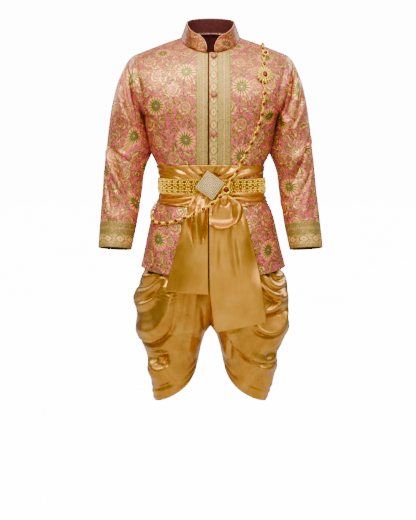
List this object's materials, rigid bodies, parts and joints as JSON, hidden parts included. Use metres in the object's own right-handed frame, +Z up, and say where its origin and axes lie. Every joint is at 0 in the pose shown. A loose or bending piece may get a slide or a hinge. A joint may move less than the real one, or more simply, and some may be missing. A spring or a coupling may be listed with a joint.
{
  "type": "men's chut thai suit with sash, belt and body chain",
  "caption": "Hollow worn Thai court suit: high-collared brocade jacket, draped knee-length satin trousers, tied sash, gilt link belt with a square buckle, and a jewelled chain.",
  "frame": {"origin": "middle of the neck opening, level with the seam between the collar and the shoulders, where the wearer holds the suit up", "axes": "+Z up, the front faces -Y, +X towards the wearer's left"},
  "size_m": [0.684, 0.3112, 1.1795],
  "materials": {
    "jacket_brocade": "woven brocade",
    "collar_brocade": "woven brocade",
    "button_cloth": "covered buttons",
    "trouser_satin": "satin",
    "sash_satin": "satin",
    "gilt": "polished gilt",
    "crystal": "rows of clear stones",
    "ruby_glass": "polished"
  },
  "bodies": {
    "root": {"jacket_front_left": "jacket_brocade", "jacket_front_right": "jacket_brocade", "jacket_back_left": "jacket_brocade", "jacket_back_right": "jacket_brocade", "sleeve_left": "jacket_brocade", "sleeve_right": "jacket_brocade", "collar": "collar_brocade", "button_1": "button_cloth", "button_2": "button_cloth", "button_3": "button_cloth", "trouser_leg_left": "trouser_satin", "trouser_leg_right": "trouser_satin", "sash_wrap": "sash_satin", "sash_tail_left": "sash_satin", "sash_tail_right": "sash_satin", "sash_loop": "sash_satin", "belt": "gilt", "belt_buckle": "crystal", "chain": "gilt", "brooch": "gilt", "chain_pendant": "ruby_glass"}
  },
  "joints": []
}
